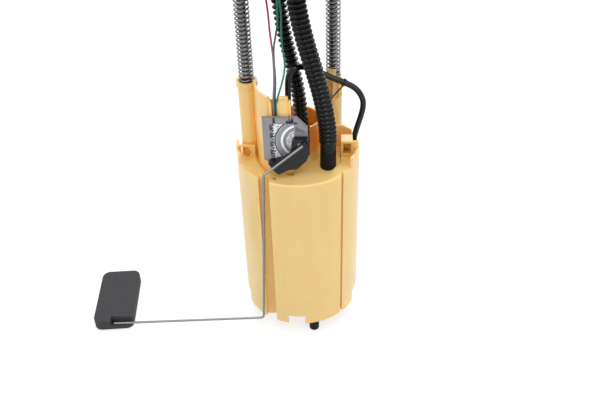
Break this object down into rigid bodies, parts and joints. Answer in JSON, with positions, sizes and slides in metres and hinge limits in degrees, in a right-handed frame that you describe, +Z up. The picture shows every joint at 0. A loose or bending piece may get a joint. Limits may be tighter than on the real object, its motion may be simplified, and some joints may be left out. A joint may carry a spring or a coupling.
{
  "type": "fuel pump module",
  "caption": "In-tank fuel pump module: reservoir with pump on sprung guide rods under a round tank cover, with corrugated hoses, level sender and float arm.",
  "frame": {"origin": "centre of the tank's sealing plane, the underside of the cover's seal, on the reservoir's axis", "axes": "+Z up out of the tank, -Y towards the level sender, +X to its right"},
  "size_m": [0.2942, 0.1379, 0.415],
  "materials": {
    "tan_pom": "satin moulded",
    "zinc_steel": "zinc plated",
    "spring_steel": "drawn wire",
    "ground_steel": "ground rod",
    "black_nylon": "satin",
    "black_rubber": "matt",
    "float_rubber": "fine grained",
    "grey_pbt": "satin",
    "ceramic": "fired, printed",
    "pump_steel": "plated",
    "brass": "tinned",
    "ferrite": "sintered",
    "pink_pvc": "satin",
    "grey_pvc": "satin",
    "teal_pvc": "satin",
    "green_seal": "matt",
    "white_mesh": "woven nylon"
  },
  "bodies": {
    "cover": {"cover_plate": "zinc_steel", "cover_seal": "green_seal", "guide_rod_left": "ground_steel", "guide_rod_right": "ground_steel", "rod_clips": "spring_steel", "supply_port": "zinc_steel", "return_port": "zinc_steel", "vapour_port": "zinc_steel", "connector_shell": "black_nylon", "connector_pins": "brass"},
    "reservoir": {"reservoir_shell": "tan_pom", "pump_retainer": "tan_pom", "reservoir_floor": "tan_pom", "rubber_feet": "black_rubber", "floor_valve": "black_rubber", "floor_strainer": "white_mesh", "pump_case": "pump_steel", "pump_cap": "black_nylon", "pump_inlet_plate": "black_nylon", "pump_magnets": "ferrite", "pump_terminals": "brass", "pump_brushes": "ferrite", "pump_seat": "black_rubber", "pump_strainer": "white_mesh", "jet_pump": "black_nylon", "jet_tube": "black_nylon", "tube_tie": "black_nylon", "sender_bracket": "grey_pbt", "sender_card": "ceramic", "spring_left": "spring_steel", "spring_right": "spring_steel", "supply_hose": "black_nylon", "return_hose": "black_nylon", "return_cuff": "black_rubber", "wire_pink": "pink_pvc", "wire_grey": "grey_pvc", "wire_teal": "teal_pvc", "pump_wire_live": "pink_pvc", "pump_wire_ground": "grey_pvc"},
    "float_arm": {"sender_rotor": "black_nylon", "arm_wire": "ground_steel", "float_slab": "float_rubber", "wiper_contact": "brass"},
    "pump_rotor": {"pump_armature": "pump_steel", "pump_impeller": "black_nylon"}
  },
  "joints": [
    {"name": "reservoir_slide", "type": "slide", "parent": "cover", "child": "reservoir", "axis": [0, 0, 1], "range_m": [0, 0.05], "stiffness_N_per_m": 765, "springref_m": -0.02, "deforming": ["spring_left", "spring_right", "supply_hose", "return_hose", "wire_pink", "wire_grey", "wire_teal", "pump_wire_live", "pump_wire_ground"]},
    {"name": "float_arm_swing", "type": "hinge", "parent": "reservoir", "child": "float_arm", "pos_m": [0.004, -0.0455, -0.154], "axis": [0, 1, 0], "range_deg": [0, 70]},
    {"name": "pump_spin", "type": "hinge", "parent": "reservoir", "child": "pump_rotor", "pos_m": [0, 0, -0.285], "axis": [0, 0, 1], "continuous": true}
  ]
}
